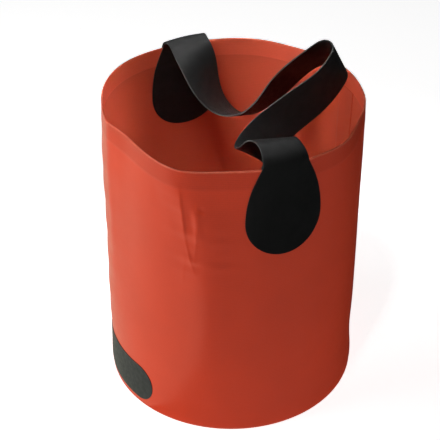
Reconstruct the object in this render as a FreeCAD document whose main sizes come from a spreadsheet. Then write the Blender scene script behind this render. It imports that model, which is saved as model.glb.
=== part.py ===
import FreeCAD, Part
import math
import os
import Sketcher

# Soft round tool bucket: a tube of coated fabric with a welded bottom, and one carrying strap of two plies.
# The plies end in teardrop pads, one outside and one inside the wall, at two anchors opposite each other.
# Millimetres. +Z is up. The origin is the centre of the underside of the base.
# Headings are degrees about +Z from +X, and the front of the bucket faces -Y.

doc = FreeCAD.newDocument("tool_bucket")

DIMENSIONS = {
    "bucket_diameter": 300,
    "bucket_height": 360,
    "wall_thickness": 0.9,
    "ply_thickness": 0.8,
    "hem_height": 22,
    "seam_tape_width": 30,
    "seam_heading": 25,
    "panel_thickness": 1.6,
    "weld_band_height": 26,
    "board_diameter": 280,
    "board_thickness": 3,
    "strap_width": 50,
    "anchor_heading": 22,
    "pad_radius": 44,
    "pad_flare_radius": 128,
    "pad_centre_drop": 65.5,
    "neck_lift": 3,
    "neck_length": 36,
    "rear_neck_length": 34,
    "neck_gap": 2,
    "patch_heading": -155,
    "patch_width": 130,
    "patch_height": 50,
    "patch_lift": 7,
    "patch_corner": 24,
    "patch_thickness": 0.5,
}

# The strap's route from the front anchor to the rear one, chosen by hand: the middle of the strap,
# then the heading and the dip of its width, from its left edge to its right edge.
STRAP_ROUTE = [
    (52, -130, 376, 22, -4),
    (44, -112, 376, 22, -7),
    (38, -100, 367, 20, -11),
    (32, -91, 349, 8, -17),
    (26, -80, 335, -5, -26),
    (26, -60, 329, -15, -45),
    (36, -40, 332, -11, -54),
    (55, -22, 343, 8, -61),
    (80, -8, 357, 18, -63),
    (103, 6, 370, 33, -64),
    (119, 24, 382, 35, -64),
    (124, 38, 388, 34, -62),
    (119, 50, 390, 34, -57),
    (105, 59, 384, 42, -42),
    (85, 63, 370, 50, -35),
    (60, 62, 345, 52, -34),
    (35, 58, 318, 62, -28),
    (10, 62, 304, 65, -25),
    (-14, 76, 310, 62, -15),
    (-29, 90, 332, 50, -5),
    (-37, 99, 355, 35, 3),
    (-46, 112, 371, 25, 8),
    (-52, 128, 373, 23, 4),
]

SECTION_STEP = 8.0
NECK_SECTIONS = 8
CAMBER_LEFT_AT_NECK_END = 0.2
OVERSHOOT = 20


def make_sheet():
    sheet = doc.addObject("Spreadsheet::Sheet", "Dims")
    for row, (alias, value) in enumerate(DIMENSIONS.items(), start=1):
        sheet.set(f"A{row}", alias)
        sheet.set(f"B{row}", str(value))
        sheet.setAlias(f"B{row}", alias)
    doc.recompute()
    return sheet


SHEET = make_sheet()


def size(alias):
    return float(SHEET.get(alias))


def bind(obj, **expressions):
    for name, text in expressions.items():
        obj.setExpression(name, text)


def cylinder(name, radius, height, base="0"):
    obj = doc.addObject("Part::Cylinder", name)
    bind(obj, Radius=radius, Height=height)
    obj.setExpression("Placement.Base.z", base)
    return obj


def boolean(kind, name, base, tool):
    obj = doc.addObject(kind, name)
    obj.Base = base
    obj.Tool = tool
    return obj


def tube(name, outer, inner, height, base):
    solid = cylinder(name + "_outer_form", outer, height, base)
    hollow = cylinder(name + "_inner_form", inner, height, base)
    return boolean("Part::Cut", name, solid, hollow)


INSIDE = "Dims.bucket_diameter / 2 - Dims.wall_thickness"
OUTSIDE = "Dims.bucket_diameter / 2"


def side_wall():
    return tube("side_wall", OUTSIDE, INSIDE, "Dims.bucket_height", "0")


def rim_hem():
    inner = INSIDE + " - Dims.ply_thickness"
    base = "Dims.bucket_height - Dims.hem_height"
    return tube("rim_hem", INSIDE, inner, "Dims.hem_height", base)


def base_panel():
    return cylinder("base_panel", INSIDE, "Dims.panel_thickness")


def base_weld_band():
    inner = INSIDE + " - Dims.ply_thickness"
    return tube("base_weld_band", INSIDE, inner, "Dims.weld_band_height", "Dims.panel_thickness")


def base_board():
    return cylinder("base_board", "Dims.board_diameter / 2", "Dims.board_thickness", "Dims.panel_thickness")


def base_cover():
    """A disc over the board, with its edge turned down beside the board and out on to the panel."""
    edge = INSIDE + " - Dims.ply_thickness"
    top = cylinder(
        "base_cover_top_form",
        "Dims.board_diameter / 2 + Dims.ply_thickness",
        "Dims.board_thickness + Dims.ply_thickness",
        "Dims.panel_thickness",
    )
    flange = cylinder("base_cover_flange_form", edge, "Dims.ply_thickness", "Dims.panel_thickness")
    whole = boolean("Part::Fuse", "base_cover_form", top, flange)
    board_space = cylinder(
        "base_cover_board_space",
        "Dims.board_diameter / 2",
        "Dims.board_thickness",
        "Dims.panel_thickness",
    )
    return boolean("Part::Cut", "base_cover", whole, board_space)


def wall_seam_tape():
    inner = INSIDE + " - Dims.ply_thickness"
    foot = "Dims.panel_thickness + Dims.weld_band_height"
    height = "Dims.bucket_height - Dims.hem_height - Dims.weld_band_height - Dims.panel_thickness"
    shell = tube("wall_seam_tape_shell", INSIDE, inner, height, foot)
    strip = doc.addObject("Part::Box", "wall_seam_tape_strip")
    bind(strip, Length="Dims.bucket_diameter", Width="Dims.seam_tape_width", Height="Dims.bucket_height")
    turn = FreeCAD.Rotation(FreeCAD.Vector(0, 0, 1), size("seam_heading"))
    start = turn.multVec(FreeCAD.Vector(0, -size("seam_tape_width") / 2, 0))
    strip.Placement = FreeCAD.Placement(start, turn)
    return boolean("Part::Common", "wall_seam_tape", shell, strip)


def facing(heading, distance, height):
    """A placement whose local X runs along the wall, local Y up and local Z outwards."""
    upright = FreeCAD.Rotation(FreeCAD.Vector(1, 0, 0), 90)
    turn = FreeCAD.Rotation(FreeCAD.Vector(0, 0, 1), heading)
    outwards = turn.multVec(FreeCAD.Vector(0, -1, 0))
    place = outwards * distance + FreeCAD.Vector(0, 0, height)
    return FreeCAD.Placement(place, turn.multiply(upright))


def teardrop_sketch(name, heading):
    """The pad's outline: a half circle below, two wide arcs up to the neck, and the neck's square top."""
    radius = size("pad_radius")
    flare = size("pad_flare_radius")
    drop = size("pad_centre_drop")
    lift = size("neck_lift")
    half_neck = size("strap_width") / 2
    rise = math.sqrt(flare**2 - (flare - radius + half_neck) ** 2)
    angle = math.asin(rise / flare)
    up = FreeCAD.Vector(0, 0, 1)

    def point(x, y):
        return FreeCAD.Vector(x, y, 0)

    def arc(x, y, r, start, end):
        return Part.ArcOfCircle(Part.Circle(point(x, y), up, r), start, end)

    sketch = doc.addObject("Sketcher::SketchObject", name)
    bottom, right, right_side, top, left_side, left = sketch.addGeometry(
        [
            arc(0, -drop, radius, math.pi, 2 * math.pi),
            arc(radius - flare, -drop, flare, 0, angle),
            Part.LineSegment(point(half_neck, rise - drop), point(half_neck, lift)),
            Part.LineSegment(point(half_neck, lift), point(-half_neck, lift)),
            Part.LineSegment(point(-half_neck, lift), point(-half_neck, rise - drop)),
            arc(flare - radius, -drop, flare, math.pi - angle, math.pi),
        ]
    )
    start, end, centre = 1, 2, 3
    rules = [
        ("Tangent", bottom, end, right, start),
        ("Coincident", right, end, right_side, start),
        ("Coincident", right_side, end, top, start),
        ("Coincident", top, end, left_side, start),
        ("Coincident", left_side, end, left, start),
        ("Tangent", left, end, bottom, start),
        ("Vertical", right_side),
        ("Vertical", left_side),
        ("Equal", left, right),
        ("Horizontal", bottom, start, bottom, centre),
        ("Horizontal", bottom, end, bottom, centre),
        ("PointOnObject", bottom, centre, -2),
        ("Symmetric", top, start, top, end, -2),
    ]
    for rule in rules:
        sketch.addConstraint(Sketcher.Constraint(*rule))
    measures = [
        ("radius", Sketcher.Constraint("Radius", bottom, radius), "Dims.pad_radius"),
        ("flare", Sketcher.Constraint("Radius", right, flare), "Dims.pad_flare_radius"),
        ("drop", Sketcher.Constraint("DistanceY", bottom, centre, -1, 1, drop), "Dims.pad_centre_drop"),
        ("lift", Sketcher.Constraint("DistanceY", -1, 1, top, start, lift), "Dims.neck_lift"),
        ("width", Sketcher.Constraint("DistanceX", top, end, top, start, 2 * half_neck), "Dims.strap_width"),
    ]
    for label, constraint, expression in measures:
        index = sketch.addConstraint(constraint)
        sketch.renameConstraint(index, label)
        sketch.setExpression(f"Constraints.{label}", expression)
    distance = size("bucket_diameter") / 2 - OVERSHOOT
    sketch.Placement = facing(heading, distance, size("bucket_height"))
    return sketch


def teardrop_prism(name, heading):
    prism = doc.addObject("Part::Extrusion", name)
    prism.Base = teardrop_sketch(name + "_outline", heading)
    prism.DirMode = "Normal"
    prism.LengthFwd = 2 * OVERSHOOT
    prism.Solid = True
    return prism


def outer_pad_shell(name):
    height = "Dims.pad_centre_drop + 2 * Dims.pad_radius + Dims.neck_lift"
    base = "Dims.bucket_height - Dims.pad_centre_drop - 2 * Dims.pad_radius"
    return tube(name, OUTSIDE + " + Dims.ply_thickness", OUTSIDE, height, base)


def inner_pad_shell(name):
    """The pad lies on the wall below the hem and steps over the hem above it."""
    on_hem = tube(
        name + "_on_hem",
        INSIDE + " - Dims.ply_thickness",
        INSIDE + " - 2 * Dims.ply_thickness",
        "Dims.hem_height + Dims.ply_thickness + Dims.neck_lift",
        "Dims.bucket_height - Dims.hem_height - Dims.ply_thickness",
    )
    on_wall = tube(
        name + "_on_wall",
        INSIDE,
        INSIDE + " - Dims.ply_thickness",
        "Dims.pad_centre_drop + 2 * Dims.pad_radius - Dims.hem_height",
        "Dims.bucket_height - Dims.pad_centre_drop - 2 * Dims.pad_radius",
    )
    return boolean("Part::Fuse", name, on_hem, on_wall)


def width_vector(heading, dip):
    level = math.cos(math.radians(dip))
    return FreeCAD.Vector(
        level * math.cos(math.radians(heading)),
        level * math.sin(math.radians(heading)),
        math.sin(math.radians(dip)),
    )


class Strap:
    """The strap's middle line and its width direction, from the front anchor to the rear one."""

    def __init__(self):
        heading = size("anchor_heading")
        self.half_gap = (size("wall_thickness") + size("ply_thickness")) / 2
        self.root_radius = size("bucket_diameter") / 2 - self.half_gap
        out = FreeCAD.Vector(math.sin(math.radians(heading)), -math.cos(math.radians(heading)), 0)
        root = out * self.root_radius + FreeCAD.Vector(0, 0, size("bucket_height") + size("neck_lift"))
        rear_root = FreeCAD.Vector(-root.x, -root.y, root.z)
        middle = [root] + [FreeCAD.Vector(*row[:3]) for row in STRAP_ROUTE] + [rear_root]
        widths = [width_vector(*row[3:]) for row in STRAP_ROUTE]
        widths = [width_vector(heading, 0)] + widths + [width_vector(heading, 0)]
        places = [0.0]
        for before, after in zip(middle, middle[1:]):
            places.append(places[-1] + before.distanceToPoint(after))
        up = FreeCAD.Vector(0, 0, 1)
        self.middle = Part.BSplineCurve()
        self.middle.interpolate(
            Points=middle, Parameters=places, InitialTangent=up, FinalTangent=up * -1, Scale=False
        )
        self.widths = Part.BSplineCurve()
        self.widths.interpolate(Points=widths, Parameters=places)
        self.end = places[-1]
        self.length = self.middle.length()

    def frame(self, place):
        """The middle point, the width direction and the outward direction at one place."""
        point = self.middle.value(place)
        along = self.middle.tangent(place)[0]
        width = self.widths.value(place)
        width = width - along * width.dot(along)
        width.normalize()
        return point, width, width.cross(along)

    def camber(self, offset):
        """How far the strap's edges stand in from its middle where it follows the wall."""
        radius = self.root_radius + offset
        return radius - math.sqrt(radius**2 - (size("strap_width") / 2) ** 2)

    def section(self, place, low, high, bend):
        """One closed section between two offsets. bend is 1 where it follows the wall and 0 where it is flat."""
        point, width, out = self.frame(place)
        half = size("strap_width") / 2

        def at(across, offset):
            drop = self.camber(offset) * bend * abs(across)
            return point + width * (across * half) + out * (offset - drop)

        def edge(offset, first):
            if bend == 0:
                return Part.LineSegment(at(first, offset), at(-first, offset)).toShape()
            return Part.Arc(at(first, offset), at(0, offset), at(-first, offset)).toShape()

        sides = [Part.LineSegment(at(1, low), at(1, high)).toShape(), edge(high, 1)]
        sides += [Part.LineSegment(at(-1, high), at(-1, low)).toShape(), edge(low, -1)]
        return Part.Wire(sides)


def strap_ply(name, strap, low, high):
    """One moving ply of the strap, between the two necks."""
    start = size("neck_length") + size("neck_gap")
    end = strap.end - size("rear_neck_length") - size("neck_gap")
    count = round((end - start) / SECTION_STEP)
    places = [start + (end - start) * i / count for i in range(count + 1)]
    wires = [strap.section(place, low, high, 0) for place in places]
    ply = doc.addObject("Part::Feature", name)
    ply.Shape = Part.makeLoft(wires, True, True)
    return ply


def neck(name, strap, start, end, side):
    """One ply of a neck: it leaves the wall between the pads and closes on the other ply as it turns in."""
    thickness = size("ply_thickness")
    wires = []
    for i in range(NECK_SECTIONS + 1):
        share = i / NECK_SECTIONS
        near = strap.half_gap * max(0.0, 1 - 2 * share)
        low, high = sorted((side * near, side * (near + thickness)))
        bend = 1 - (1 - CAMBER_LEFT_AT_NECK_END) * share
        wires.append(strap.section(start + (end - start) * share, low, high, bend))
    piece = doc.addObject("Part::Feature", name)
    piece.Shape = Part.makeLoft(wires, True, True)
    return piece


def anchor_pads(strap, where, turn, start, end):
    """The outer and the inner pad of one anchor, each in one piece with its side of the neck."""
    prism = teardrop_prism(f"{where}_prism", size("anchor_heading") + turn)
    outer = boolean("Part::Common", f"{where}_outer_body", outer_pad_shell(f"{where}_outer_shell"), prism)
    inner = boolean("Part::Common", f"{where}_inner_body", inner_pad_shell(f"{where}_inner_shell"), prism)
    outer_neck = neck(f"{where}_outer_neck", strap, start, end, 1)
    inner_neck = neck(f"{where}_inner_neck", strap, start, end, -1)
    return [
        boolean("Part::Fuse", f"{where}_outer_pad", outer, outer_neck),
        boolean("Part::Fuse", f"{where}_inner_pad", inner, inner_neck),
    ]


def side_patch():
    block = doc.addObject("Part::Box", "side_patch_block")
    bind(block, Length="Dims.patch_width", Width="Dims.patch_height")
    block.Height = 2 * OVERSHOOT
    distance = size("bucket_diameter") / 2 - OVERSHOOT
    place = facing(size("patch_heading") + 90, distance, size("patch_lift"))
    shift = place.Rotation.multVec(FreeCAD.Vector(-size("patch_width") / 2, 0, 0))
    block.Placement = FreeCAD.Placement(place.Base + shift, place.Rotation)
    doc.recompute()
    corner = size("patch_corner")
    depth = place.Rotation.multVec(FreeCAD.Vector(0, 0, 1))
    rounded = doc.addObject("Part::Fillet", "side_patch_form")
    rounded.Base = block
    rounded.Edges = [
        (number, corner, corner)
        for number, edge in enumerate(block.Shape.Edges, start=1)
        if abs(edge.tangentAt(edge.FirstParameter).dot(depth)) > 0.99
    ]
    outer = OUTSIDE + " + Dims.patch_thickness"
    height = "Dims.patch_height + 2 * Dims.patch_lift"
    shell = tube("side_patch_shell", outer, OUTSIDE, height, "0")
    return boolean("Part::Common", "side_patch", shell, rounded)


def build():
    strap = Strap()
    front_end = size("neck_length")
    rear_start = strap.end - size("rear_neck_length")
    thickness = size("ply_thickness")
    parts = [
        side_wall(),
        rim_hem(),
        wall_seam_tape(),
        base_panel(),
        base_weld_band(),
        base_board(),
        base_cover(),
        side_patch(),
    ]
    parts += anchor_pads(strap, "front", 0, 0.0, front_end)
    parts += anchor_pads(strap, "rear", 180, strap.end, rear_start)
    parts += [
        strap_ply("strap_top_ply", strap, 0, thickness),
        strap_ply("strap_under_ply", strap, -thickness, 0),
    ]
    print("strap middle line, anchor to anchor, mm:", round(strap.length, 1))
    return parts


def check(parts):
    for obj in doc.Objects:
        if "Invalid" in obj.State or "Error" in obj.State:
            raise RuntimeError(f"{obj.Name} failed: {obj.State}")
    for part in parts:
        shape = part.Shape
        if shape.isNull() or not shape.isValid() or len(shape.Solids) != 1:
            raise RuntimeError(f"{part.Label} is not one valid solid")
        print(f"{part.Label:18s} volume {shape.Volume / 1000:9.2f} cm3")


def export(parts):
    os.makedirs("parts", exist_ok=True)
    for part in parts:
        part.Shape.exportStep(f"parts/{part.Label}.step")


sub_parts = build()
for sub_part in sub_parts:
    sub_part.Label = sub_part.Name
doc.recompute()
check(sub_parts)
export(sub_parts)
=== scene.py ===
import math

import bpy
import numpy as np
from mathutils import Matrix, Vector


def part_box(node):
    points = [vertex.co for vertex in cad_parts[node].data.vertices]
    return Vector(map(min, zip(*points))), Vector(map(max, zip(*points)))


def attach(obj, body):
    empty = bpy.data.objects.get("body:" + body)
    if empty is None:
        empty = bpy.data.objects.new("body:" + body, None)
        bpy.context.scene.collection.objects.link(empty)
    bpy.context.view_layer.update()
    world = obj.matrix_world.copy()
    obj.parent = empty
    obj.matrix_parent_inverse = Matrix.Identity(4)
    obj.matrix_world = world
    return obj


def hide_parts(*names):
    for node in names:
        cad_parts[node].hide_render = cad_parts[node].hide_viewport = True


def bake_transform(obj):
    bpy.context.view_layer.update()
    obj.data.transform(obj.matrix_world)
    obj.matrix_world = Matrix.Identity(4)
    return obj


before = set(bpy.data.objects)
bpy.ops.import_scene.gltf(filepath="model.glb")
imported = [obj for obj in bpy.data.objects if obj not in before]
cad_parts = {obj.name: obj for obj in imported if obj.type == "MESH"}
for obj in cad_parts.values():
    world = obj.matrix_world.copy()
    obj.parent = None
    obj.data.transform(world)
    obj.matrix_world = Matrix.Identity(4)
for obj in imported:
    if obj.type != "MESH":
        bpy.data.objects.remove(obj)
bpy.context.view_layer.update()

# ---------------------------------------------------------------- sizes
MM = 0.001
WALL_LOW, WALL_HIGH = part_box("side_wall")
HEIGHT = round(WALL_HIGH[2], 4)
RADIUS = round((WALL_HIGH[0] - WALL_LOW[0]) / 2, 3)
WALL = 0.9 * MM
PLY = 0.8 * MM
HEM_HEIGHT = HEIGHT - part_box("rim_hem")[0][2]
HEM_FOOT = HEIGHT - HEM_HEIGHT
BAND_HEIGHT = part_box("base_weld_band")[1][2]
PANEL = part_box("base_panel")[1][2]
BOARD_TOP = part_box("base_board")[1][2]
BOARD_RADIUS = round(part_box("base_board")[1][0], 3)
COVER_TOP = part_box("base_cover")[1][2]

# Angles go round from the front towards the right, in degrees.
ANCHOR = 22.0
STRAP_WIDTH = 50 * MM
PAD_RADIUS = 44 * MM
PAD_FLARE = 128 * MM
PAD_DROP = 65.5 * MM
NECK_LIFT = 3 * MM
NECK_LENGTH = 36 * MM
HALF_GAP = (WALL + PLY) / 2
SEAM = 115.0
SEAM_WIDTH = 30 * MM
PATCH_ANGLE = -65.0

# The mesh: steps round the wall and its bands, steps round the discs, columns across the strap, and the step
# along the strap.
WALL_STEPS = 800
DISC_STEPS = 360
COLUMNS = 25
ROW_STEP = 2.5 * MM

# A softened edge has two points between its faces, each this share of the softness from one of them.
CHAMFER = 0.3

# The strap's route from the front anchor to the rear one, as in part.py, in mm: the middle of the strap,
# then the heading and the dip of its width, from its left edge to its right edge, in degrees.
STRAP_ROUTE = [
    (52, -130, 376, 22, -4),
    (44, -112, 376, 22, -7),
    (38, -100, 367, 20, -11),
    (32, -91, 349, 8, -17),
    (26, -80, 335, -5, -26),
    (26, -60, 329, -15, -45),
    (36, -40, 332, -11, -54),
    (55, -22, 343, 8, -61),
    (80, -8, 357, 18, -63),
    (103, 6, 370, 33, -64),
    (119, 24, 382, 35, -64),
    (124, 38, 388, 34, -62),
    (119, 50, 390, 34, -57),
    (105, 59, 384, 42, -42),
    (85, 63, 370, 50, -35),
    (60, 62, 345, 52, -34),
    (35, 58, 318, 62, -28),
    (10, 62, 304, 65, -25),
    (-14, 76, 310, 62, -15),
    (-29, 90, 332, 50, -5),
    (-37, 99, 355, 35, 3),
    (-46, 112, 371, 25, 8),
    (-52, 128, 373, 23, 4),
]


# ---------------------------------------------------------------- small maths
def smooth(value, low, high):
    """0 below low, 1 above high, and a smooth step between them."""
    t = np.clip((np.asarray(value, float) - low) / (high - low), 0, 1)
    return t * t * (3 - 2 * t)


def turned(angle, centre):
    """angle minus centre, brought to -180..180 degrees."""
    return (np.asarray(angle, float) - centre + 180) % 360 - 180


def hump(angle, centre, width):
    return np.exp(-((turned(angle, centre) / width) ** 2))


def unit(vectors):
    return vectors / np.linalg.norm(vectors, axis=-1, keepdims=True)


class Spline:
    """A smooth cubic curve through points at stated places. The end slopes are free unless they are given."""

    def __init__(self, places, points, first=None, last=None):
        self.places = np.asarray(places, float)
        self.points = np.asarray(points, float)
        gaps = np.diff(self.places)
        rises = np.diff(self.points, axis=0) / gaps[:, None]
        count = len(self.places)
        system = np.zeros((count, count))
        right = np.zeros_like(self.points)
        system[0, 0] = system[-1, -1] = 1
        right[0] = rises[0] if first is None else first
        right[-1] = rises[-1] if last is None else last
        for i in range(1, count - 1):
            system[i, i - 1 : i + 2] = gaps[i], 2 * (gaps[i - 1] + gaps[i]), gaps[i - 1]
            right[i] = 3 * (gaps[i] * rises[i - 1] + gaps[i - 1] * rises[i])
        self.slopes = np.linalg.solve(system, right)

    def at(self, place):
        """The points and the slopes at an array of places."""
        place = np.asarray(place, float)
        i = np.clip(np.searchsorted(self.places, place) - 1, 0, len(self.places) - 2)
        gap = (self.places[i + 1] - self.places[i])[..., None]
        t = (place - self.places[i])[..., None] / gap
        a, b = self.points[i], self.points[i + 1]
        m, n = self.slopes[i] * gap, self.slopes[i + 1] * gap
        point = a + t * m + t**2 * (3 * (b - a) - 2 * m - n) + t**3 * (2 * (a - b) + m + n)
        slope = (m + 2 * t * (3 * (b - a) - 2 * m - n) + 3 * t**2 * (2 * (a - b) + m + n)) / gap
        return point, slope


# ---------------------------------------------------------------- the wall's shape
def crease(angle, z, foot, top, left, right, depth):
    """A shallow sharp fold along a line on the wall, from foot to top, each an (angle, height) pair. left and
    right are the widths of its two slopes."""
    across = np.radians(turned(angle, foot[0])) * RADIUS
    run = np.array([math.radians(top[0] - foot[0]) * RADIUS, top[1] - foot[1]])
    length = np.hypot(*run)
    along = (across * run[0] + (z - foot[1]) * run[1]) / length
    aside = (across * run[1] - (z - foot[1]) * run[0]) / length
    fade = smooth(along, 0, 0.35 * length) * (1 - smooth(along, 0.6 * length, length))
    width = np.where(aside < 0, left, right)
    return depth * fade * np.exp(-np.abs(aside) / width)


# How far the soft rim stands out from a true circle, in mm, at angles from the front in degrees.
RIM_SHAPE = [
    (-171, 1.0),
    (-158, 0.0),
    (-144, 2.0),
    (-124, 3.3),
    (-112, 1.0),
    (-98, -3.5),
    (-84, -6.5),
    (-71, -8.5),
    (-59, -13.5),
    (-50, -12.5),
    (-40, -7.0),
    (-30, 0.5),
    (-20, 5.0),
    (-9, 1.5),
    (5, -1.5),
    (22, 0.0),
    (34, -2.0),
    (49, 2.0),
    (62, -0.5),
    (74, -3.0),
    (84, 0.0),
    (100, 1.6),
    (114, 3.4),
    (135, 1.0),
    (152, -0.5),
    (165, 2.8),
    (180, 2.2),
]


def ring_curve(rows):
    """A smooth closed curve through (angle, value) rows, as a Spline over angles from -180 to 180."""
    angles = np.array([row[0] for row in rows], float)
    values = np.array([row[1] for row in rows], float)
    turns = np.concatenate([angles - 360, angles, angles + 360])
    return Spline(turns, np.tile(values, 3)[:, None])


RIM_CURVE = ring_curve(RIM_SHAPE)


def dimple(angle, z, centre, foot, wide, tall, depth):
    across = np.radians(turned(angle, centre)) * RADIUS / wide
    return depth * np.exp(-(across**2) - ((z - foot) / tall) ** 2)


# Small folds near the ridge: foot and top as (angle, height), the widths of the left and right slopes and the
# depth in mm.
FOLDS = [
    ((-18.6, 0.262), (-20.8, 0.350), 9, 1.8, 1.9),
    ((-15.2, 0.226), (-19.8, 0.282), 6, 1.6, 1.2),
    ((-14.6, 0.262), (-14.0, 0.326), 2.2, 5, 0.9),
    ((-15.6, 0.236), (-12.2, 0.322), 6, 1.9, 0.8),
    ((-21.5, 0.205), (-18.8, 0.262), 5, 2.4, 0.5),
]

# Small dents: angle, height, half width and half height in mm, and depth in mm.
DENTS = [
    (-16.6, 0.303, 4, 12, -0.9),
    (-12.8, 0.290, 3.5, 14, 0.7),
    (-12.2, 0.314, 3, 3, -1.1),
    (-18.5, 0.262, 4, 8, -0.5),
    (-15.6, 0.246, 3, 4, 0.5),
    (-26, 0.285, 9, 16, 0.4),
    (-32, 0.318, 8, 14, -0.35),
]


def swell(angle, z):
    """How far the soft wall stands out from its true cylinder, in metres. The terms are summed in mm."""
    angle, z = np.broadcast_arrays(np.asarray(angle, float), np.asarray(z, float))
    depth = np.clip(HEIGHT - z, 0, None)
    rim = RIM_CURVE.at(turned(angle, 0))[0][..., 0]

    # Under the uneven rim, a broad hollow with a leaning, rumpled ridge to its right and a flat to its left.
    crest = -20 + 9 * smooth(depth, 12 * MM, 75 * MM)
    rumpled = smooth(depth, 25 * MM, 45 * MM) * (1 - smooth(depth, 110 * MM, 170 * MM))
    crest = crest + rumpled * (0.6 * np.sin(z / (4.6 * MM)) + 0.45 * np.sin(z / (2.7 * MM) + 1))
    broad = -9.5 * hump(angle, -56, 21) + 5.2 * hump(angle, crest, 9) - 2 * hump(angle, -90, 18)
    far_down = 1 - smooth(depth, 100 * MM, 350 * MM)
    near_rim = np.exp(-((depth / (55 * MM)) ** 1.5))
    out = broad * far_down + (rim - broad) * near_rim

    # The wall bulges high up, draws in above the foot and rolls out at the foot, most of all on the right.
    side = 0.45 + 0.55 * hump(angle, 82, 50)
    bulge, waist = np.exp(-(((z - 0.29) / 0.05) ** 2)), np.exp(-(((z - 0.055) / 0.03) ** 2))
    out += side * (0.6 * bulge - 1.5 * waist)
    out += side * 0.9 * np.exp(-(((z - 0.012) / 0.014) ** 2))

    # The hem leans in, loose cloth waves all round, and level ripples and an upright edge show on the left.
    out -= 0.5 * smooth(z, HEM_FOOT - 1 * MM, HEIGHT)
    loose = smooth(z, 40 * MM, 90 * MM)
    out += loose * 0.22 * np.sin(np.radians(5 * angle) + 17 * z) * np.cos(np.radians(8 * angle) - 23 * z + 1)
    ripple = np.sin(z * 2 * math.pi / 0.045 + np.radians(2 * angle)) * hump(angle, -92, 22)
    out += 0.35 * ripple * loose * (1 - smooth(z, HEIGHT - 50 * MM, HEIGHT - 20 * MM))
    out += 0.8 * hump(angle, -71, 3.5) * smooth(z, 0.12, 0.26)

    # The sharp folds and the small dents.
    for foot, top, left, right, depth in FOLDS:
        out += crease(angle, z, foot, top, left * MM, right * MM, depth)
    for centre, middle, wide, tall, depth in DENTS:
        out += dimple(angle, z, centre, middle, wide * MM, tall * MM, depth)

    # The wall steps in below the hem. The pads hold it nearer to round by the rim, and the weld holds its foot.
    out -= 0.22 * (1 - smooth(z, HEM_FOOT - 0.8 * MM, HEM_FOOT + 0.8 * MM))
    calm = 1 - 0.7 * np.maximum(hump(angle, ANCHOR, 15), hump(angle, ANCHOR - 180, 15)) * near_rim
    return out * calm * smooth(z, 0, 9 * MM) * MM


def on_wall(angle, z, offset):
    """Points on the wall at an angle from the front, a height, and an offset out from its outer surface."""
    angle, z, offset = np.broadcast_arrays(angle, z, offset)
    r = RADIUS + offset + swell(angle, z)
    a = np.radians(angle)
    return np.stack([r * np.sin(a), -r * np.cos(a), z], axis=-1)


# ---------------------------------------------------------------- mesh making
def make_object(name, points, faces, uv, closed=None):
    """A smooth mesh with its places on the flat cloth, in metres. closed is the length right round a ring."""
    mesh = bpy.data.meshes.new(name)
    mesh.from_pydata(points.reshape(-1, 3).tolist(), [], faces)
    layer = mesh.uv_layers.new(name="metres")
    corners = np.empty(len(mesh.loops), int)
    mesh.loops.foreach_get("vertex_index", corners)
    flat = uv.reshape(-1, 2)[corners]
    if closed is not None:
        flat = mend_wrap(mesh, flat, closed)
    layer.data.foreach_set("uv", flat.astype(np.float32).ravel())
    mesh.polygons.foreach_set("use_smooth", [True] * len(mesh.polygons))
    mesh.validate()
    obj = bpy.data.objects.new(name, mesh)
    bpy.context.scene.collection.objects.link(obj)
    return obj


def mend_wrap(mesh, flat, length):
    """Where a face crosses the line that joins a ring's two ends, its far corners move on by one turn."""
    starts = np.empty(len(mesh.polygons), int)
    totals = np.empty(len(mesh.polygons), int)
    mesh.polygons.foreach_get("loop_start", starts)
    mesh.polygons.foreach_get("loop_total", totals)
    face = np.repeat(np.arange(len(starts)), totals)
    highest = np.full(len(starts), -1e9)
    np.maximum.at(highest, face, flat[:, 0])
    behind = flat[:, 0] < highest[face] - length / 2
    flat[behind, 0] += length
    return flat


def grid_faces(rows, columns, wrap_rows=False, wrap_columns=False):
    faces = []
    for i in range(rows if wrap_rows else rows - 1):
        i2 = (i + 1) % rows
        for j in range(columns if wrap_columns else columns - 1):
            j2 = (j + 1) % columns
            faces.append((i * columns + j, i * columns + j2, i2 * columns + j2, i2 * columns + j))
    return faces


def ring_section(name, section):
    """A closed section of (offset, height) pairs carried right round the bucket."""
    angles = np.arange(WALL_STEPS) * 360 / WALL_STEPS
    offset = np.array([s[0] for s in section])
    z = np.array([s[1] for s in section])
    points = on_wall(angles[:, None], z[None, :], offset[None, :])
    steps = np.hypot(np.diff(offset, append=offset[0]), np.diff(z, append=z[0]))
    v = np.concatenate([[0], np.cumsum(steps)[:-1]])
    around = np.radians(angles) * RADIUS
    uv = np.stack(np.broadcast_arrays(around[:, None], v[None, :]), axis=-1)
    faces = [face[::-1] for face in grid_faces(WALL_STEPS, len(section), wrap_rows=True, wrap_columns=True)]
    return make_object(name, points, faces, uv, closed=2 * math.pi * RADIUS)


def band_section(low, high, foot, top, steps, soft=0.4 * MM):
    """The section of a thin upright band between two offsets, from its outer foot up, with soft corners."""
    up = np.linspace(foot + soft, top - soft, steps)
    section = [(high, z) for z in up]
    near = CHAMFER * soft
    section += [(high - near, top - near), (high - soft, top), (low + soft, top), (low + near, top - near)]
    section += [(low, z) for z in up[::-1]]
    section += [(low + near, foot + near), (low + soft, foot)]
    section += [(high - soft, foot), (high - near, foot + near)]
    return section


# ---------------------------------------------------------------- the strap's path
def width_vector(heading, dip):
    heading, dip = np.radians(heading), np.radians(dip)
    return np.stack([np.cos(dip) * np.cos(heading), np.cos(dip) * np.sin(heading), np.sin(dip)], axis=-1)


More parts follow.
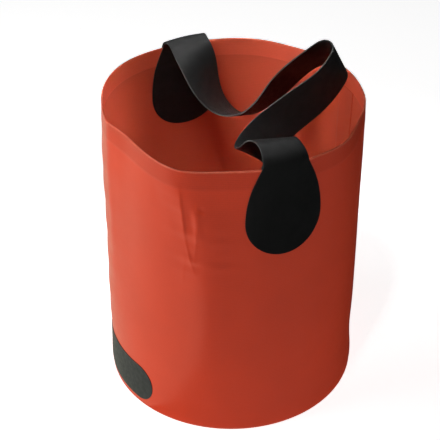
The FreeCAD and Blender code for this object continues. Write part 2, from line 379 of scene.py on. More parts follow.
ROUTE = np.array(STRAP_ROUTE, float)
OUTWARD = np.array([math.sin(math.radians(ANCHOR)), -math.cos(math.radians(ANCHOR)), 0])
ROOT_HEIGHT = HEIGHT + NECK_LIFT
FRONT_ROOT = OUTWARD * (RADIUS - HALF_GAP) + np.array([0, 0, ROOT_HEIGHT])
REAR_ROOT = FRONT_ROOT * np.array([-1, -1, 1])
MIDDLE_POINTS = np.vstack([FRONT_ROOT, ROUTE[:, :3] * MM, REAR_ROOT])
PLACES = np.concatenate([[0], np.cumsum(np.linalg.norm(np.diff(MIDDLE_POINTS, axis=0), axis=1))])
STRAP_END = PLACES[-1]
UP = np.array([0, 0, 1.0])
MIDDLE = Spline(PLACES, MIDDLE_POINTS, first=UP, last=-UP)
ANCHOR_WIDTH = width_vector([ANCHOR], [0])
WIDTHS = Spline(PLACES, np.vstack([ANCHOR_WIDTH, width_vector(ROUTE[:, 3], ROUTE[:, 4]), ANCHOR_WIDTH]))


# The strap is curved like the wall at the rim and goes flat above it. This share of the curve counts as flat.
NEARLY_FLAT = 1e-4


def on_strap(along, across, offset):
    """Points on the strap. along is below 0 on the front pad, 0 at the front rim, STRAP_END at the rear rim
    and above it on the rear pad."""
    along, across, offset = np.broadcast_arrays(along, across, offset)
    place = np.clip(along, 0, STRAP_END)
    point, slope = MIDDLE.at(place)
    tangent = unit(slope)
    width = WIDTHS.at(place)[0]
    width = unit(width - tangent * np.sum(width * tangent, axis=-1, keepdims=True))
    out = np.cross(width, tangent)
    from_rim = np.minimum(place, STRAP_END - place)
    bend = 1 - smooth(from_rim, 0, 1.1 * NECK_LENGTH)
    curve = np.maximum(bend, NEARLY_FLAT) / RADIUS
    aside = np.sin(curve * across) / curve
    drop = (1 - np.cos(curve * across)) / curve
    rear = along > STRAP_END / 2
    aside_angle = np.degrees(across / RADIUS)
    angle = np.where(rear, ANCHOR + 180 - aside_angle, ANCHOR + aside_angle)
    give = swell(angle, HEIGHT) * bend
    strap = point + width * aside[..., None] + out * (offset - drop + give)[..., None]
    depth = np.where(rear, along - STRAP_END, -along)
    pad = on_wall(angle, ROOT_HEIGHT - depth, offset - HALF_GAP)
    return np.where((depth > 0)[..., None], pad, strap)


# ---------------------------------------------------------------- thin pieces with soft edges
def inward(across, along, cut_first, cut_last):
    """The direction into a flat grid from each point of its outline, which is level along a cut end."""
    rows, columns = across.shape
    loop = [(0, j) for j in range(columns)]
    loop += [(i, columns - 1) for i in range(1, rows)]
    loop += [(rows - 1, j) for j in reversed(range(columns - 1))]
    loop += [(i, 0) for i in reversed(range(1, rows - 1))]
    flat = np.array([(across[p], along[p]) for p in loop])
    run = np.roll(flat, -1, axis=0) - np.roll(flat, 1, axis=0)
    into = unit(np.stack([-run[:, 1], run[:, 0]], axis=-1))
    for k, (i, j) in enumerate(loop):
        if (cut_first and i == 0) or (cut_last and i == rows - 1):
            into[k] = (1, 0) if j == 0 else (-1, 0) if j == columns - 1 else (0, 0)
    return loop, into


def slab(name, across, along, low, high, place, cut_first=False, cut_last=False, soft=0.22 * MM):
    """A closed thin piece over a flat grid, with rounded edges. low and high are its two faces' offsets. A
    cut end is square, and meets the next piece of the strip. Faces on the raw edge take material slot 1."""
    rows, columns = across.shape
    low, high = np.broadcast_to(low, across.shape), np.broadcast_to(high, across.shape)
    loop, into = inward(across, along, cut_first, cut_last)
    index = np.array([i * columns + j for i, j in loop])
    u, v = across.ravel(), along.ravel()
    lo, hi = low.ravel(), high.ravel()

    def moved(share):
        return u[index] + into[:, 0] * share * soft, v[index] + into[:, 1] * share * soft

    inset_u, inset_v = u.copy(), v.copy()
    inset_u[index], inset_v[index] = moved(1)
    near_u, near_v = moved(CHAMFER)
    rim_u, rim_v = moved(0)
    layers = [
        (inset_u, inset_v, hi),
        (near_u, near_v, hi[index] - CHAMFER * soft),
        (rim_u, rim_v, hi[index] - soft),
        (rim_u, rim_v, lo[index] + soft),
        (near_u, near_v, lo[index] + CHAMFER * soft),
        (inset_u, inset_v, lo),
    ]
    all_u = np.concatenate([layer[0] for layer in layers])
    all_v = np.concatenate([layer[1] for layer in layers])
    all_offset = np.concatenate([layer[2] for layer in layers])
    points = place(all_v, all_u, all_offset)
    total, around = rows * columns, len(loop)
    under = total + 4 * around
    rings = [index] + [total + k * around + np.arange(around) for k in range(4)] + [under + index]
    top = grid_faces(rows, columns)
    faces = top + [tuple(under + corner for corner in reversed(face)) for face in top]
    raw = []
    # The first and the last ring of these faces still belong to the flat sides. The others are the raw edge.
    for level, (ring, nxt) in enumerate(zip(rings, rings[1:])):
        for k in range(around):
            k2 = (k + 1) % around
            if 0 < level < len(rings) - 2:
                raw.append(len(faces))
            faces.append((int(ring[k]), int(nxt[k]), int(nxt[k2]), int(ring[k2])))
    obj = make_object(name, points, faces, np.stack([all_u, all_v], axis=-1))
    mesh = obj.data
    for k in raw:
        mesh.polygons[k].material_index = 1
    mark_cuts(mesh, rings, loop, rows, columns, cut_first, cut_last)
    return obj


def mark_cuts(mesh, rings, loop, rows, columns, cut_first, cut_last):
    """The square ends of a cut strip keep sharp edges, so that the two sides of the cut shade alike."""
    ends = [i for i, cut in ((0, cut_first), (rows - 1, cut_last)) if cut]
    sharp = set()
    for end in ends:
        on_end = [k for k, row_and_column in enumerate(loop) if row_and_column[0] == end]
        corners = [k for k in on_end if loop[k][1] in (0, columns - 1)]
        for ring in (rings[0], rings[-1]):
            marked = {int(ring[k]) for k in on_end}
            sharp |= {(a, b) for a in marked for b in marked if a < b and abs(a - b) == 1}
        for k in corners:
            for ring, nxt in zip(rings, rings[1:]):
                a, b = int(ring[k]), int(nxt[k])
                sharp.add((min(a, b), max(a, b)))
    for edge in mesh.edges:
        if tuple(sorted(edge.vertices)) in sharp:
            edge.use_edge_sharp = True


# ---------------------------------------------------------------- the bucket's pieces
def spun(name, profile, lift=None):
    """A closed body of revolution. The profile is (radius, height) pairs from the axis out and back to it.
    lift gives a rise in height at an angle, a radius and a height."""
    angles = np.radians(np.arange(DISC_STEPS) * 360 / DISC_STEPS)
    radius = np.array([p[0] for p in profile[1:-1]])
    z = np.array([p[1] for p in profile[1:-1]])
    rise = 0 if lift is None else lift(angles[:, None], radius[None, :], z[None, :])
    x, y = radius * np.sin(angles[:, None]), -radius * np.cos(angles[:, None])
    points = np.stack(np.broadcast_arrays(x, y, z + rise + 0 * angles[:, None]), axis=-1)
    rows, columns = points.shape[:2]
    faces = grid_faces(rows, columns, wrap_rows=True)
    ends = np.array([[0, 0, profile[0][1]], [0, 0, profile[-1][1]]])
    first, last = rows * columns, rows * columns + 1
    for i in range(rows):
        i2 = (i + 1) % rows
        faces.append((first, i * columns, i2 * columns))
        faces.append((last, i2 * columns + columns - 1, i * columns + columns - 1))
    faces = [face[::-1] for face in faces]
    everything = np.vstack([points.reshape(-1, 3), ends])
    return make_object(name, everything, faces, everything[:, :2])


def wall():
    return ring_section("wall", band_section(-WALL, 0, 0, HEIGHT, 210, soft=0.6 * MM))


def rim_band():
    return ring_section("rim_band", band_section(-WALL - PLY, -WALL, HEM_FOOT, HEIGHT, 12))


def weld_band():
    return ring_section("weld_band", band_section(-WALL - PLY, -WALL, PANEL, BAND_HEIGHT, 12))


def seam_strip():
    half = SEAM_WIDTH / 2
    across = np.linspace(-half, half, 13)
    along = np.linspace(BAND_HEIGHT, HEM_FOOT, 140)
    across, along = np.meshgrid(across, along)

    def place(z, aside, offset):
        return on_wall(SEAM + np.degrees(aside / RADIUS), z, offset)

    return slab("seam_strip", across, along, -WALL - PLY, -WALL, place)


def bottom_panel():
    """The welded bottom, with the shallow ring that the weld presses into its underside."""
    radius, soft = RADIUS - WALL, 0.5 * MM
    near = CHAMFER * soft
    weld_inner, weld_outer, depth = 128 * MM, 143 * MM, 0.25 * MM
    profile = [(0, 0)]
    profile += [(r, 0) for r in np.linspace(0.004, weld_inner - 0.001, 16)]
    profile += [(weld_inner, depth / 2), (weld_inner + 0.001, depth), (weld_outer - 0.001, depth)]
    profile += [(weld_outer, depth / 2), (weld_outer + 0.001, 0)]
    profile += [(radius - soft, 0), (radius - near, near), (radius, soft)]
    profile += [(radius, PANEL - soft), (radius - near, PANEL - near), (radius - soft, PANEL)]
    profile += [(0.1, PANEL), (0.05, PANEL), (0, PANEL)]
    return spun("bottom_panel", profile)


def board_cover():
    """The cloth over the stiff board: flat on top, a soft shoulder, and a flange welded to the bottom."""
    flange = RADIUS - WALL - PLY
    shoulder, foot = BOARD_RADIUS + PLY, PANEL + PLY
    bend = COVER_TOP - foot
    turn = [math.radians(a) for a in range(0, 91, 10)]
    top = [(shoulder - bend + bend * math.sin(a), foot + bend * math.cos(a)) for a in turn]
    profile = [(0, PANEL + 3 * MM)]
    profile += [(BOARD_RADIUS, BOARD_TOP), (BOARD_RADIUS, PANEL), (flange - 0.4 * MM, PANEL)]
    profile += [(flange, PANEL + 0.4 * MM), (flange, foot - 0.4 * MM), (flange - 0.4 * MM, foot)]
    profile += [(shoulder + 1.5 * MM, foot), (shoulder + 0.4 * MM, foot + 0.3 * MM)]
    profile += top[::-1]
    profile += [(r, COVER_TOP) for r in np.linspace(shoulder - bend, 0.004, 60)[1:]]
    profile += [(0, COVER_TOP)]

    def lift(angle, radius, z):
        upper = (z > COVER_TOP - 0.5 * MM) * smooth(shoulder - 2 * MM - radius, 0, 12 * MM)
        broad = np.sin(3 * angle + radius * 40) * np.sin(radius * 55 + 1)
        return upper * 0.35 * MM * (broad + 0.6 * np.sin(7 * angle - radius * 60))

    return spun("board_cover", profile, lift=lift)


def side_patch():
    """A plain printed film patch with rounded corners, low on the wall."""
    low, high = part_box("side_patch")
    half_across, corner, half_height = 67 * MM, 24 * MM, (high[2] - low[2]) / 2
    middle = (high[2] + low[2]) / 2
    turn = np.radians(np.linspace(90, 0, 14))
    up = np.concatenate([-half_height + corner * (1 - np.sin(turn)), [0]])
    up = np.concatenate([up, -up[-2::-1]])
    past = np.maximum(corner - half_height + abs(up), 0)
    reach = half_across - corner + np.sqrt(np.maximum(corner**2 - past**2, 0))
    across = np.linspace(-1, 1, 49)[None, :] * reach[:, None]
    along = np.broadcast_to(up[:, None], across.shape).copy()

    def place(aside_up, aside, offset):
        return on_wall(PATCH_ANGLE + np.degrees(aside / RADIUS), middle + aside_up, offset)

    return slab("film_patch", across, along, 0, 0.5 * MM, place, soft=0.15 * MM)


# ---------------------------------------------------------------- the strap's pieces
def half_width(depth):
    """Half the width at a depth below the rim. Above the rim the depth is below zero."""
    pad = PAD_RADIUS - PAD_FLARE + np.sqrt(np.maximum(PAD_FLARE**2 - (PAD_DROP - depth) ** 2, 0))
    neck = STRAP_WIDTH / 2 - 1.5 * MM * np.exp(-(((depth + 30 * MM) / (18 * MM)) ** 2))
    corner = 3 * MM
    return np.where(depth > PAD_DROP / 2, pad, (pad + neck + np.sqrt((pad - neck) ** 2 + corner**2)) / 2)


def round_end():
    """The pad's lower half circle as a flat grid, from its bottom arc up to its widest line."""
    share = np.linspace(-1, 1, COLUMNS)[None, :]
    rise = np.linspace(0, 1, 14)[:, None]
    left, right = (1 - share) / 2, (1 + share) / 2

    def arc(degrees):
        a = np.radians(degrees)
        return np.stack([np.cos(a), np.sin(a)], axis=-1)

    def level(x):
        return np.stack([x, 0 * x], axis=-1)

    def part(weight):
        return weight[..., None]

    sides = part(left + 0 * rise) * arc(225 - 45 * rise) + part(right + 0 * rise) * arc(-45 + 45 * rise)
    ends = part(1 - rise + 0 * share) * arc(45 * share - 90) + part(rise + 0 * share) * level(share)
    corners = part((1 - rise) * left) * arc(np.array(225.0)) + part((1 - rise) * right) * arc(np.array(-45.0))
    corners += part(rise * left) * np.array([-1.0, 0]) + part(rise * right) * np.array([1.0, 0])
    flat = (sides + ends - corners) * PAD_RADIUS
    return flat[:-1, :, 0], flat[:-1, :, 1]


def pad_and_strap(length):
    """The flat grid of a pad and of a length of strap above it. Depths below the rim line are below zero."""
    bottom_across, bottom_along = round_end()
    bottom_along = bottom_along - PAD_DROP - NECK_LIFT
    upper = np.linspace(-PAD_DROP - NECK_LIFT, 0, round((PAD_DROP + NECK_LIFT) / ROW_STEP) + 1)
    strap = np.linspace(0, length, round(length / ROW_STEP) + 1)[1:]
    along = np.concatenate([upper, strap])
    half = half_width(-along - NECK_LIFT)
    across = np.linspace(-1, 1, COLUMNS)[None, :] * half[:, None]
    along = np.broadcast_to(along[:, None], across.shape)
    return np.vstack([bottom_across, across]), np.vstack([bottom_along, along])


def gap_to_middle(from_rim, inner):
    """How far a ply's near face stands from the middle surface: on the wall, over the hem, or closed up."""
    gap = HALF_GAP * (1 - smooth(from_rim, 0, NECK_LENGTH / 2))
    if inner:
        gap = gap - PLY * smooth(-from_rim - NECK_LIFT, HEM_HEIGHT, HEM_HEIGHT + 6 * MM)
    return gap


# Each ply is made in three lengths, which meet at these two places.
FRONT_CUT = PLACES[9]
REAR_CUT = (PLACES[15] + PLACES[16]) / 2


def strap_pieces(side, inner):
    """One ply from pad to pad, in three lengths. side is 1 for the outer ply and -1 for the inner one."""

    def faces_at(from_rim):
        gap = gap_to_middle(from_rim, inner)
        return (gap, gap + PLY) if side > 0 else (-gap - PLY, -gap)

    word = "inner" if inner else "outer"
    across, along = pad_and_strap(FRONT_CUT)
    low, high = faces_at(along)
    front = slab(f"strap_front_{word}", across, along, low, high, on_strap, cut_last=True)

    rows = round((REAR_CUT - FRONT_CUT) / ROW_STEP) + 1
    along = np.linspace(FRONT_CUT, REAR_CUT, rows)[:, None] + np.zeros(COLUMNS)
    across = np.linspace(-1, 1, COLUMNS)[None, :] * STRAP_WIDTH / 2 + np.zeros((rows, 1))
    low, high = (0, PLY) if side > 0 else (-PLY, 0)
    middle = slab(f"strap_middle_{word}", across, along, low, high, on_strap, cut_first=True, cut_last=True)

    across, from_rim = pad_and_strap(STRAP_END - REAR_CUT)
    across, from_rim = across[::-1], from_rim[::-1]
    low, high = faces_at(from_rim)
    rear = slab(f"strap_rear_{word}", across, STRAP_END - from_rim, low, high, on_strap, cut_first=True)
    return front, middle, rear


# ---------------------------------------------------------------- materials
class Nodes:
    """A material's node tree, with short calls that add a node, set its inputs and return its output."""

    def __init__(self, name):
        self.material = bpy.data.materials.new(name)
        self.material.use_nodes = True
        self.tree = self.material.node_tree
        self.shader = self.tree.nodes["Principled BSDF"]

    def set(self, socket, value):
        if isinstance(value, bpy.types.NodeSocket):
            self.tree.links.new(value, socket)
        else:
            socket.default_value = value

    def add(self, kind, output=0, inputs=(), **settings):
        node = self.tree.nodes.new(kind)
        for key, value in settings.items():
            setattr(node, key, value)
        for key, value in dict(inputs).items():
            self.set(node.inputs[key], value)
        return node.outputs[output]

    def maths(self, operation, *values):
        node = self.tree.nodes.new("ShaderNodeMath")
        node.operation = operation
        for socket, value in zip(node.inputs, values):
            self.set(socket, value)
        return node.outputs[0]

    def ramp(self, value, low, high, to_low=0.0, to_high=1.0):
        inputs = {"Value": value, "From Min": low, "From Max": high, "To Min": to_low, "To Max": to_high}
        return self.add("ShaderNodeMapRange", inputs=inputs, interpolation_type="SMOOTHSTEP")

    def patchy(self, noise, to_low=0.0, to_high=1.0):
        """A noise spread over a range. Most of a noise's values lie between 0.3 and 0.7."""
        return self.ramp(noise, 0.3, 0.7, to_low, to_high)

    def mix(self, factor, first, second):
        """A blend of two colours. Sockets 6, 7 and 2 are the node's colour ones."""
        node = self.tree.nodes.new("ShaderNodeMix")
        node.data_type = "RGBA"
        self.set(node.inputs["Factor"], factor)
        self.set(node.inputs[6], first)
        self.set(node.inputs[7], second)
        return node.outputs[2]

    def scaled(self, colour, factor):
        node = self.tree.nodes.new("ShaderNodeVectorMath")
        node.operation = "SCALE"
        self.set(node.inputs[0], colour)
        self.set(node.inputs["Scale"], factor)
        return node.outputs[0]

    def noise(self, vector, scale, detail=3.0, roughness=0.5):
        inputs = {"Vector": vector, "Scale": scale, "Detail": detail, "Roughness": roughness}
        return self.add("ShaderNodeTexNoise", inputs=inputs)

    def bump(self, height, strength, distance, normal=None):
        inputs = {"Height": height, "Strength": strength, "Distance": distance}
        if normal is not None:
            inputs["Normal"] = normal
        return self.add("ShaderNodeBump", inputs=inputs)

    def flat(self):
        """The place on the flat cloth, in metres: across and along."""
        uv = self.add("ShaderNodeUVMap", uv_map="metres")
        split = self.tree.nodes.new("ShaderNodeSeparateXYZ")
        self.tree.links.new(uv, split.inputs[0])
        return uv, split.outputs[0], split.outputs[1]

    def place(self):
        """The place on the object at rest, in metres."""
        point = self.add("ShaderNodeTexCoord", output="Object")
        split = self.tree.nodes.new("ShaderNodeSeparateXYZ")
        self.tree.links.new(point, split.inputs[0])
        return point, split.outputs[2]

    def finish(self, **inputs):
        """Sets the shader's inputs, with _ for each space in their names, and gives the material."""
        for key, value in inputs.items():
            self.set(self.shader.inputs[key.replace("_", " ")], value)
        return self.material


def thread(m, place, pitch):
    """A rounded ridge for each thread, from -1 to 1."""
    return m.maths("SINE", m.maths("MULTIPLY", place, 2 * math.pi / pitch))


def tone(colour, factor, more=0.0):
    """A colour made brighter or darker, as a node's colour input takes it."""
    return [min(1, c * factor + more) for c in colour] + [1]


# How much painted shade darkens the red at the rim and painted light brightens it at the foot, and how much
# more painted shade darkens it over the hem.
RIM_PAINTED_SHADE, FOOT_PAINTED_LIGHT, HEM_PAINTED_SHADE = 0.85, 1.08, 0.86


def red_cloth(name, colour, roughness, specular, grain=1.0, hem=False):
    """Coated fabric: a film over a plain weave whose threads just show, with mottling, paler pinker edges at
    the rim and the foot in patches, painted shade towards the rim and painted light towards the foot. grain
    deepens its bumps, and hem paints shade over the hem band below the rim."""
    m = Nodes(name)
    uv, across, along = m.flat()
    point, height = m.place()
    mottle = m.noise(point, 18, 2, 0.5)
    speckle = m.noise(point, 420, 1, 0.5)
    tint = m.mix(m.patchy(mottle), tone(colour, 0.975), tone(colour, 1.025))
    # Painted shade and light: the red darker towards the rim and lighter towards the foot.
    painted_shade_by_height = m.add("ShaderNodeMapRange", inputs={"Value": height, "From Min": HEIGHT, "From Max": 0.0})
    tint = m.mix(painted_shade_by_height, m.scaled(tint, RIM_PAINTED_SHADE), m.scaled(tint, FOOT_PAINTED_LIGHT))
    # Painted shade darkens the band from the hem's foot up to the rim.
    if hem:
        hem_painted_shade = m.ramp(height, HEM_FOOT - 3 * MM, HEM_FOOT + 3 * MM)
        tint = m.mix(hem_painted_shade, tint, m.scaled(tint, HEM_PAINTED_SHADE))
    weft = thread(m, along, 2.2 * MM)
    warp = thread(m, across, 1.8 * MM)
    weave = m.maths("ADD", weft, m.maths("MULTIPLY", warp, 0.5))
    shade = m.ramp(weave, -1.5, 1.5, 0.0, 0.09)
    tint = m.mix(shade, tint, tone(colour, 1.5, 0.006))
    tint = m.mix(m.ramp(speckle, 0.35, 0.75, 0.0, 0.06), tint, tone(colour, 1.3, 0.004))
    # Paler, pinker red in patches along the rim and the foot.
    edge_patches = m.noise(point, 90, 5, 0.7)
    rim = m.ramp(height, HEIGHT - 2.4 * MM, HEIGHT - 0.3 * MM)
    foot = m.ramp(height, 3.5 * MM, 0.5 * MM)
    edge = m.maths("MAXIMUM", rim, m.maths("MULTIPLY", foot, 0.8))
    pale_pink_edges = m.maths("MULTIPLY", edge, m.ramp(edge_patches, 0.25, 0.65, 0.35, 1.0))
    tint = m.mix(pale_pink_edges, tint, PALE_EDGE_RED)
    rough = m.patchy(m.noise(point, 120, 3), roughness - 0.02, roughness + 0.02)
    fine = m.bump(weave, 0.05 * grain, 0.12 * MM)
    pitted = m.bump(m.noise(point, 500, 1, 0.5), 0.04 * grain, 0.10 * MM, fine)
    stretched = m.add("ShaderNodeMapping", inputs={"Vector": uv, "Scale": (35, 420, 1)})
    slubs = m.bump(m.noise(stretched, 1, 2, 0.5), 0.07 * grain, 0.12 * MM, pitted)
    return m.finish(Base_Color=tint, Roughness=rough, Specular_IOR_Level=specular, Normal=slubs)


def strap_cloth():
    """Black coated webbing with fine ribs along it."""
    m = Nodes("black_strap_fabric")
    uv, across, along = m.flat()
    ribs = thread(m, across, 1.25 * MM)
    picks = thread(m, along, 1.1 * MM)
    weave = m.maths("ADD", ribs, m.maths("MULTIPLY", picks, 0.45))
    mottle = m.noise(uv, 30, 4, 0.6)
    tint = m.mix(m.patchy(mottle), (0.0042, 0.0044, 0.0043, 1), (0.0062, 0.0065, 0.0064, 1))
    tint = m.mix(m.ramp(weave, -1.2, 1.4, 0.0, 0.4), tint, (0.008, 0.0084, 0.0082, 1))
    dust = m.ramp(m.noise(uv, 420, 4, 0.7), 0.62, 0.8, 0.0, 0.25)
    tint = m.mix(dust, tint, (0.02, 0.021, 0.0205, 1))
    rough = m.patchy(m.noise(uv, 90, 3), 0.50, 0.62)
    ribbed = m.bump(weave, 0.35, 0.12 * MM)
    grain = m.bump(m.noise(uv, 900, 2, 0.6), 0.2, 0.1 * MM, ribbed)
    return m.finish(Base_Color=tint, Roughness=rough, Specular_IOR_Level=0.3, Normal=grain)


def strap_raw_edge():
    """The cut edge, where the strap's pale core shows between its coated faces."""
    m = Nodes("strap_raw_edge")
    uv, _, along = m.flat()
    threads = m.maths("ADD", thread(m, along, 0.9 * MM), m.noise(uv, 300, 3))
    tint = m.mix(m.ramp(threads, -1, 1.6), (0.010, 0.011, 0.011, 1), (0.07, 0.074, 0.072, 1))
    worn = m.bump(threads, 0.4, 0.1 * MM)
    return m.finish(Base_Color=tint, Roughness=0.75, Normal=worn)


def patch_film():
    """A dark printed film that lets the weave under it show a little, with pale scuffs."""
    m = Nodes("patch_film")
    uv, across, along = m.flat()
    mottle = m.noise(uv, 45, 4, 0.6)
    tint = m.mix(m.patchy(mottle), (0.014, 0.017, 0.018, 1), (0.019, 0.022, 0.024, 1))
    scuffs = m.ramp(m.noise(uv, 350, 4, 0.75), 0.62, 0.85, 0.0, 0.4)
    tint = m.mix(scuffs, tint, (0.055, 0.057, 0.058, 1))
    rough = m.patchy(m.noise(uv, 160, 3), 0.48, 0.6)
    weft, warp = thread(m, along, 1.5 * MM), thread(m, across, 1.5 * MM)
    weave = m.maths("ADD", weft, m.maths("MULTIPLY", warp, 0.5))
    shown = m.bump(weave, 0.12, 0.12 * MM)
    return m.finish(Base_Color=tint, Roughness=rough, Specular_IOR_Level=0.4, Normal=shown)


def board_plastic():
    """The stiff board's pale plastic, which its cover hides."""
    m = Nodes("board_plastic")
    point = m.place()[0]
    mottle = m.noise(point, 40, 4, 0.6)
    tint = m.mix(m.patchy(mottle), (0.42, 0.42, 0.41, 1), (0.55, 0.55, 0.53, 1))
    rough = m.patchy(m.noise(point, 200, 3), 0.45, 0.6)
    grain = m.bump(m.noise(point, 900, 2), 0.3, 0.1 * MM)
    return m.finish(Base_Color=tint, Roughness=rough, Normal=grain)


def floor_paper():
    """White paper that glows a little, less so away from the bucket."""
    m = Nodes("floor_paper")
    point = m.place()[0]
    tint = m.mix(m.noise(point, 8, 2), (0.90, 0.90, 0.90, 1), (0.92, 0.92, 0.92, 1))
    away = m.add("ShaderNodeVectorMath", output="Value", inputs={0: point}, operation="LENGTH")
    glow = m.ramp(away, 0.8, 2.2, 0.90, 0.72)
    gloss = {"Roughness": 0.9, "Specular_IOR_Level": 0.1}
    return m.finish(Base_Color=tint, **gloss, Emission_Color=(1, 1, 1, 1), Emission_Strength=glow)


RED = (0.62, 0.044, 0.009)
RED_INSIDE = (0.56, 0.078, 0.038)
# The inner hem band's red is the inside red painted lighter: painted light on the band at the top of the mouth.
RED_HEM_PAINTED_LIGHT = (0.68, 0.098, 0.049)
# The paler, pinker red of the rim and the foot.
PALE_EDGE_RED = (0.66, 0.14, 0.075, 1)
OUTSIDE_CLOTH = red_cloth("red_coated_fabric", RED, 0.31, 0.30, grain=2.6, hem=True)
INSIDE_CLOTH = red_cloth("red_coated_fabric_inside", RED_INSIDE, 0.34, 0.32)
HEM_CLOTH_PAINTED_LIGHT = red_cloth("red_coated_fabric_hem_painted_light", RED_HEM_PAINTED_LIGHT, 0.36, 0.3)
STRAP_CLOTH = strap_cloth()
STRAP_EDGE = strap_raw_edge()


# ---------------------------------------------------------------- putting the pieces together
def dress(obj, node_names, slot, *materials):
    """Gives a piece its materials and hides the CAD nodes that it stands for. slot, its material slot, is not
    used.
    """
    for material in materials:
        obj.data.materials.append(material)
    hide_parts(*node_names)
    return obj


def inside_faces(obj, material_slot):
    """The wall's inner half takes another material slot."""
    mesh = obj.data
    for face in mesh.polygons:
        centre = face.center
        outward = Vector((centre.x, centre.y, 0))
        if face.normal.dot(outward) < 0:
            face.material_index = material_slot


def build_bucket():
    shell = dress(wall(), ["side_wall"], "red_coated_fabric", OUTSIDE_CLOTH, INSIDE_CLOTH)
    inside_faces(shell, 1)
    pieces = [
        shell,
        dress(rim_band(), ["rim_hem"], "red_coated_fabric", HEM_CLOTH_PAINTED_LIGHT),
        dress(seam_strip(), ["wall_seam_tape"], "red_coated_fabric", INSIDE_CLOTH, INSIDE_CLOTH),
        dress(weld_band(), ["base_weld_band"], "red_coated_fabric", INSIDE_CLOTH),
        dress(bottom_panel(), ["base_panel"], "red_coated_fabric", OUTSIDE_CLOTH),
        dress(board_cover(), ["base_cover"], "red_coated_fabric", INSIDE_CLOTH),
        dress(side_patch(), ["side_patch"], "patch_film", patch_film(), patch_film()),
    ]
    for piece in pieces:
        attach(piece, "bucket")


def build_strap():
    for side, word in ((1, "outer"), (-1, "inner")):
        ply = "strap_top_ply" if side > 0 else "strap_under_ply"
        front, middle, rear = strap_pieces(side, side < 0)
        stands_for = [(front, [f"front_{word}_pad", ply]), (middle, [ply]), (rear, [f"rear_{word}_pad", ply])]
        for piece, node_names in stands_for:
            dress(piece, node_names, "black_strap_fabric", STRAP_CLOTH, STRAP_EDGE)
        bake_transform(front)
        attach(middle, "handle")
        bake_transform(rear)


def dress_board():
    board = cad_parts["base_board"]
    board.data.materials.clear()
    board.data.materials.append(board_plastic())


build_bucket()
build_strap()
dress_board()


# ---------------------------------------------------------------- floor, light and camera
# The floor reaches this far each way, just below the bucket's foot.
FLOOR_REACH = 20.0
FLOOR_GAP = 0.4 * MM


def floor():
    mesh = bpy.data.meshes.new("floor")
    corners = [(-1, -1), (1, -1), (1, 1), (-1, 1)]
    mesh.from_pydata([(x * FLOOR_REACH, y * FLOOR_REACH, -FLOOR_GAP) for x, y in corners], [], [(0, 1, 2, 3)])
    obj = bpy.data.objects.new("floor", mesh)
    bpy.context.scene.collection.objects.link(obj)
    mesh.materials.append(floor_paper())
    obj.visible_glossy = False


def lamp(name, place, target, width, height, power):
    """An area lamp that the camera doesn't see."""
    light = bpy.data.lights.new(name, "AREA")
    light.shape = "RECTANGLE"
    light.size, light.size_y, light.energy = width, height, power
    obj = bpy.data.objects.new(name, light)
    bpy.context.scene.collection.objects.link(obj)
    obj.location = place
    obj.rotation_euler = (Vector(target) - Vector(place)).to_track_quat("-Z", "Y").to_euler()
    obj.visible_camera = False
    return obj


# The lamps stand at one distance from the middle of the bucket.
LAMP_DISTANCE = 1.3
MIDDLE_HEIGHT = 0.2


def around(heading, rise):
    """A lamp's place, at a heading from the front and a rise in degrees from the middle of the bucket."""
    a, e = math.radians(heading), math.radians(rise)
    level = LAMP_DISTANCE * math.cos(e)
    return level * math.sin(a), -level * math.cos(a), MIDDLE_HEIGHT + LAMP_DISTANCE * math.sin(e)


# Soft square lamps: heading from the front and rise in degrees, size in metres and power in watts.
LAMPS = [
    ("front_left", -68, 20, 0.45, 5.1),
    ("left_low", -93, 17, 0.45, 3.9),
    ("front_high", -20, 70, 0.45, 0.35),
    ("front_low", 12, 8, 0.40, 0.17),
]

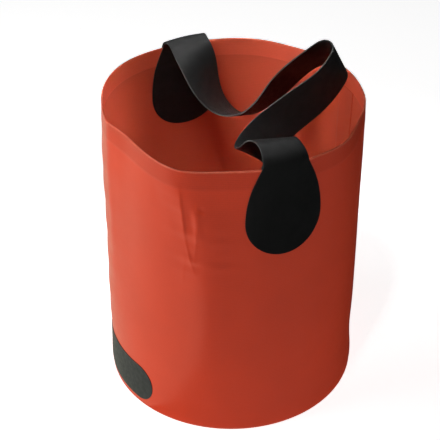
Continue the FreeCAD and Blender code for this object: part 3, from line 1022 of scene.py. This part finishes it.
# Narrow beams into the mouth: place, target, size, spread in degrees and power.
BEAMS = [
    ("mouth_front", (-0.25, -0.55, 1.55), (0.05, 0.10, 0.31), 0.30, 16, 0.19),
    ("mouth_left", (-0.83, -0.69, 1.6), (0.05, 0.06, 0.35), 0.25, 8, 0.09),
    ("mouth_deep", (-0.10, -0.45, 1.4), (-0.05, 0.12, 0.16), 0.25, 8, 0.09),
    ("mouth_right", (0.45, -0.35, 1.5), (-0.125, 0.03, 0.34), 0.10, 5, 0.055),
]

# Broad panels that only show as reflections: place, target, width, height, power and colour.
PANELS = [
    ("left_panel", (-0.6, 0.225, 0.002), (-0.6, 0.225, 1), 1.0, 1.15, 2.5, (1, 1, 0.78)),
    ("top_panel", (0.1, 0.3, 2.5), (0.1, 0.3, 0), 2.6, 2.6, 30, (1, 1, 1)),
    ("back_panel", (-0.2, 1.9, 1.9), (-0.2, 1.9, 0), 1.6, 0.8, 18, (1, 1, 1)),
]

SURROUND_STRENGTH = 0.004


def lights():
    world = bpy.data.worlds.new("studio")
    bpy.context.scene.world = world
    world.use_nodes = True
    background = world.node_tree.nodes["Background"]
    background.inputs["Color"].default_value = (1, 1, 1, 1)
    background.inputs["Strength"].default_value = SURROUND_STRENGTH
    for name, heading, rise, size, power in LAMPS:
        lamp(name, around(heading, rise), (0, 0, MIDDLE_HEIGHT), size, size, power)
    for name, place, target, size, spread, power in BEAMS:
        beam = lamp(name, place, target, size, size, power)
        beam.data.spread = math.radians(spread)
    for name, place, target, width, height, power, colour in PANELS:
        panel = lamp(name, place, target, width, height, power)
        panel.data.color = colour
        panel.visible_diffuse = False


# The camera: its place in metres, how far it looks down and how far it is rolled in degrees, its lens and the
# width of its sensor in mm.
CAMERA_PLACE = (-0.01268, -1.19659, 1.03646)
CAMERA_DOWN = 35.065
CAMERA_ROLL = -0.511
CAMERA_LENS = 100.66
CAMERA_SENSOR = 36


def camera():
    data = bpy.data.cameras.new("camera")
    data.lens, data.sensor_width = CAMERA_LENS, CAMERA_SENSOR
    obj = bpy.data.objects.new("camera", data)
    bpy.context.scene.collection.objects.link(obj)
    tilt = Matrix.Rotation(math.radians(90 - CAMERA_DOWN), 4, "X")
    roll = Matrix.Rotation(math.radians(CAMERA_ROLL), 4, "Z")
    obj.matrix_world = Matrix.Translation(CAMERA_PLACE) @ tilt @ roll
    bpy.context.scene.camera = obj


floor()
lights()
camera()
bpy.context.scene.view_settings.view_transform = "Standard"
